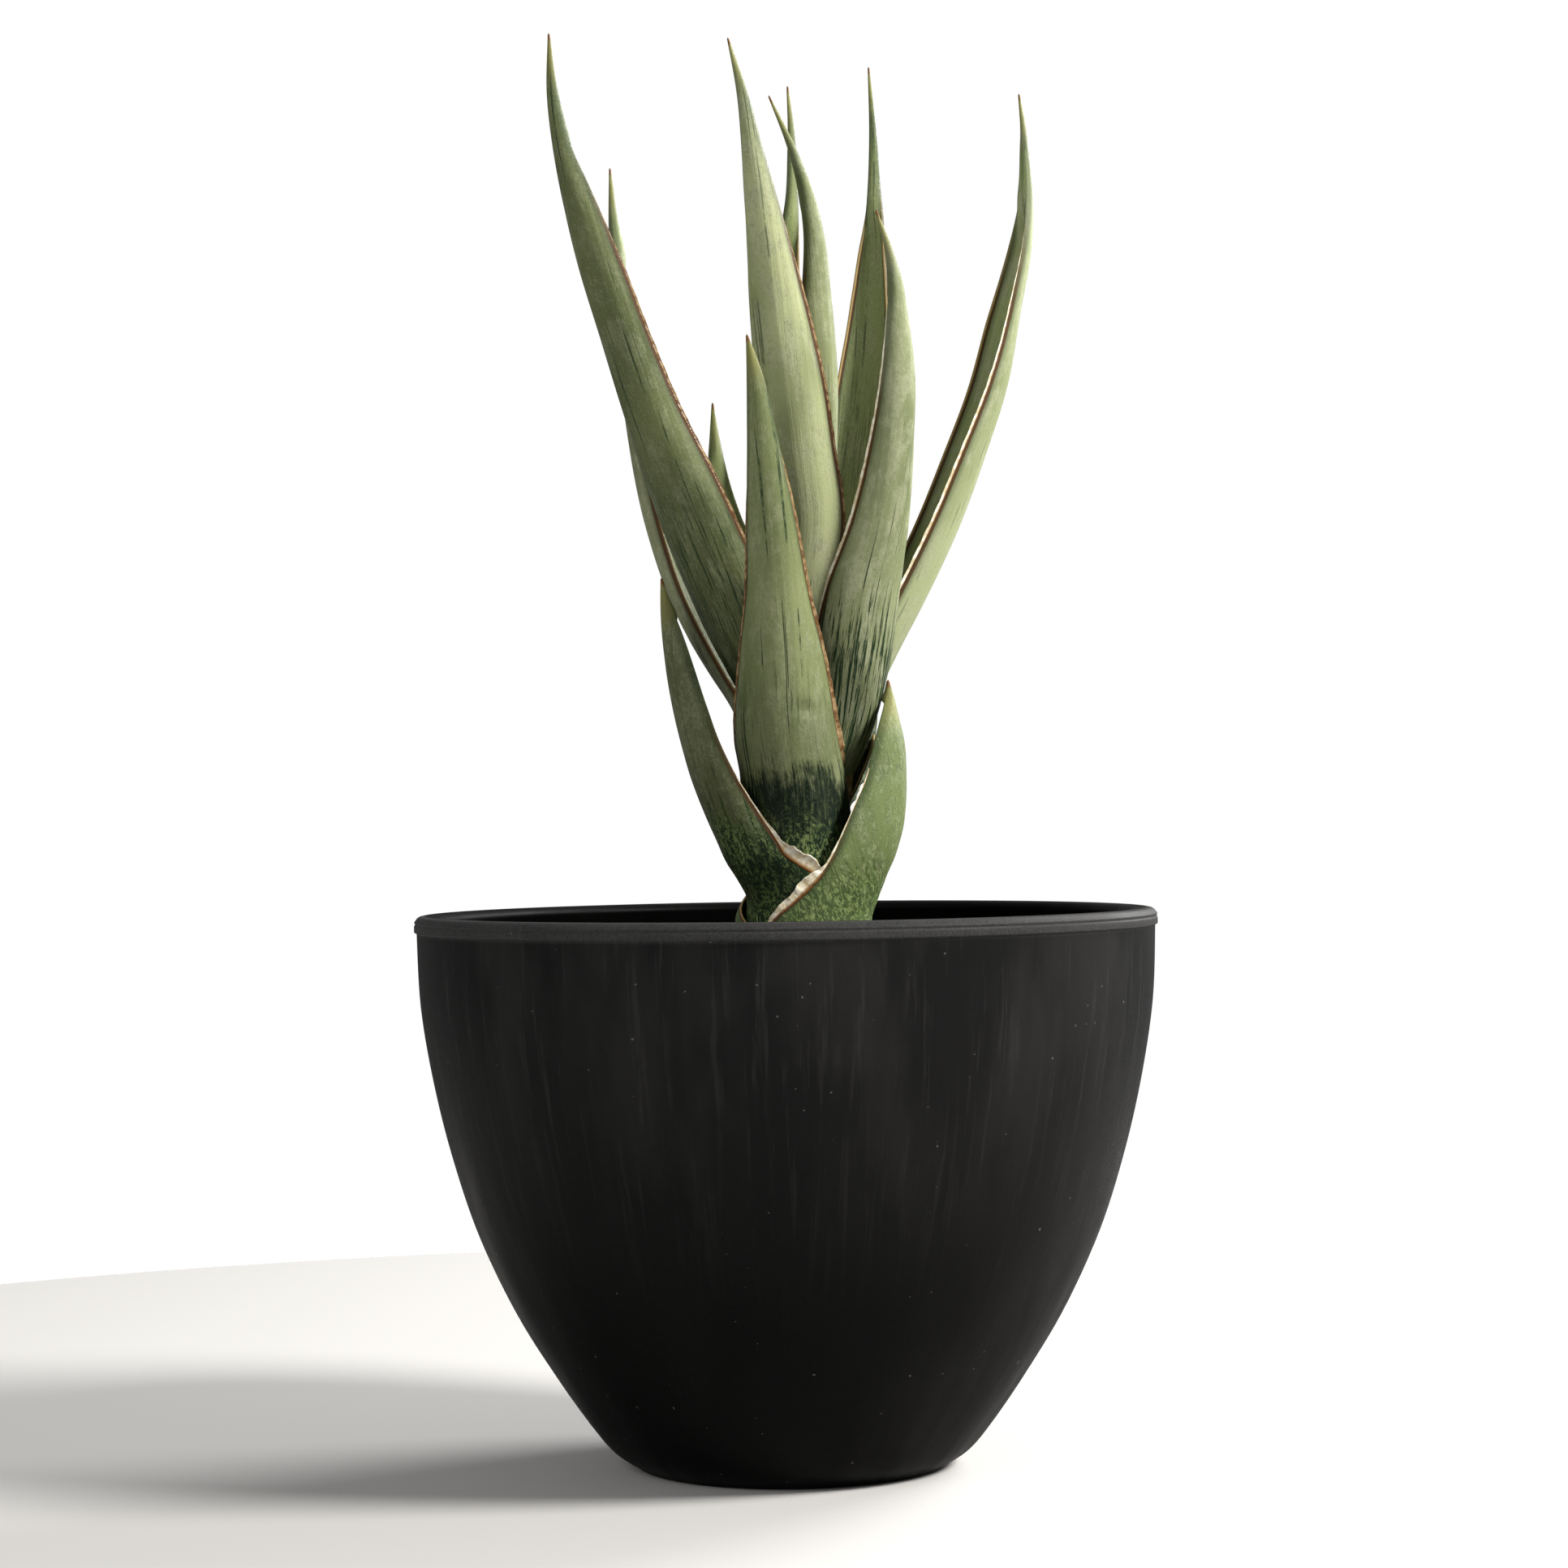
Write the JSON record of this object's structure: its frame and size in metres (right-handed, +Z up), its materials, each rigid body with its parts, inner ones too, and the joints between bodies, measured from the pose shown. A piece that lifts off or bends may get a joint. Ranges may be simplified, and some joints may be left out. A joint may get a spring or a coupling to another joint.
{
  "type": "potted hellfire snake plant",
  "caption": "Upright snake plant with thick, channelled, silver-green leaves that taper to awl tips, growing from a dark round bowl planter filled with potting mix.",
  "frame": {"origin": "centre of the pot's foot, on the surface that it stands on", "axes": "+Z up; +X to the viewer's right and -Y towards the viewer in the pictured view"},
  "size_m": [0.2058, 0.2058, 0.3952],
  "materials": {
    "pot_plastic": "satin",
    "potting_mix": "matte",
    "root": "matte",
    "leaf": "satin"
  },
  "bodies": {
    "root": {"pot": "pot_plastic", "potting_mix": "potting_mix", "stem_and_roots": "root", "leaf_low_right": "leaf", "leaf_low_left": "leaf", "leaf_front": "leaf", "leaf_back_short": "leaf", "leaf_back_left": "leaf", "leaf_front_right": "leaf", "leaf_right": "leaf", "leaf_front_left": "leaf", "leaf_front_centre": "leaf", "leaf_back_right": "leaf", "leaf_inner_right": "leaf", "leaf_inner_back": "leaf"}
  },
  "joints": []
}
